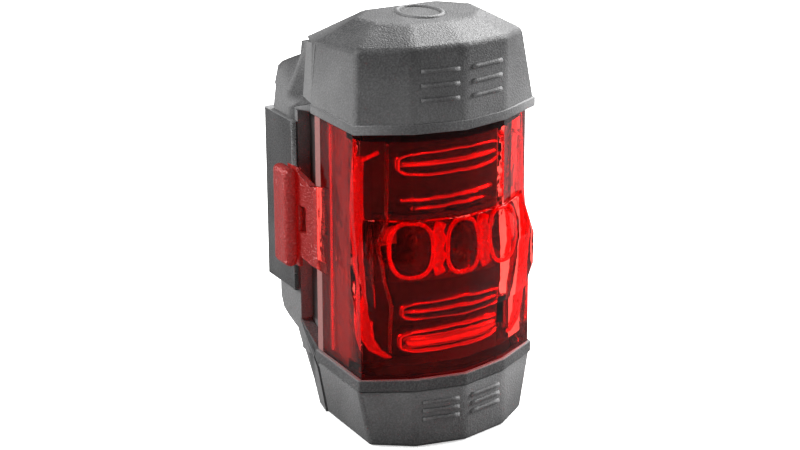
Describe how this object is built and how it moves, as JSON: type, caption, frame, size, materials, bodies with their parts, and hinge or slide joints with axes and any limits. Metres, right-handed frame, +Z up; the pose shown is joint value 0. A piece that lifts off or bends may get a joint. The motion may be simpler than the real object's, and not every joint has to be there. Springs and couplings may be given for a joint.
{
  "type": "bicycle rear light",
  "caption": "Faceted bicycle rear light for a seat post: red lens with strap hooks, soft grey hood and charge cover, rubber saddle pad, battery and circuit board inside.",
  "frame": {"origin": "on the saddle pad, at the middle of the line that bears on the seat post", "axes": "+Z up along the seat post, -Y the way the light goes out, +Y towards the axis of the post, X across the lamp"},
  "size_m": [0.0332, 0.0318, 0.057],
  "materials": {
    "grey_rubber": "fine stippled matt",
    "pad_rubber": "fine stippled matt",
    "red_lens": "clear, glossy",
    "red_block": "clear, glossy",
    "black_plastic": "matt",
    "reflector_chrome": "mirror plated",
    "silicone": "matt",
    "board": "solder mask",
    "led_dome": "clear, glossy",
    "chip_black": "matt",
    "socket_steel": "satin",
    "plunger_white": "matt",
    "cell_silver": "satin foil",
    "foam": "matt",
    "lead_red": "insulated wire",
    "screw_steel": "satin"
  },
  "bodies": {
    "lamp": {"inner_housing": "black_plastic", "rear_shell": "grey_rubber", "upper_band": "grey_rubber", "lower_band": "grey_rubber", "top_hood": "grey_rubber", "cover_strap": "grey_rubber", "saddle_pad": "pad_rubber", "lens": "red_lens", "lens_seal": "silicone", "optics_frame": "black_plastic", "belt_block": "red_block", "upper_reflector": "reflector_chrome", "lower_reflector": "reflector_chrome", "main_board": "board", "main_leds": "led_dome", "status_leds": "led_dome", "driver_chips": "chip_black", "charge_port": "socket_steel", "power_switch": "chip_black", "battery_cell": "cell_silver", "battery_foam": "foam", "battery_leads": "lead_red", "shell_screws": "screw_steel", "board_screws": "screw_steel"},
    "button": {"power_button": "grey_rubber"},
    "plunger": {"switch_plunger": "plunger_white"},
    "charge_cover": {"bottom_cap": "grey_rubber"}
  },
  "joints": [
    {"name": "button_press", "type": "slide", "parent": "lamp", "child": "button", "axis": [0, 0, -1], "range_m": [0, 0.0005], "stiffness_N_per_m": 2500},
    {"name": "switch_press", "type": "slide", "parent": "lamp", "child": "plunger", "axis": [0, 0, -1], "range_m": [0, 0.00025]},
    {"name": "charge_cover_hinge", "type": "hinge", "parent": "lamp", "child": "charge_cover", "pos_m": [0, -0.00735, -0.0284], "axis": [1, 0, 0], "range_deg": [0, 95]}
  ],
  "couplings": [
    {"joint": "switch_press", "follows": "button_press", "ratio": 0.5}
  ]
}
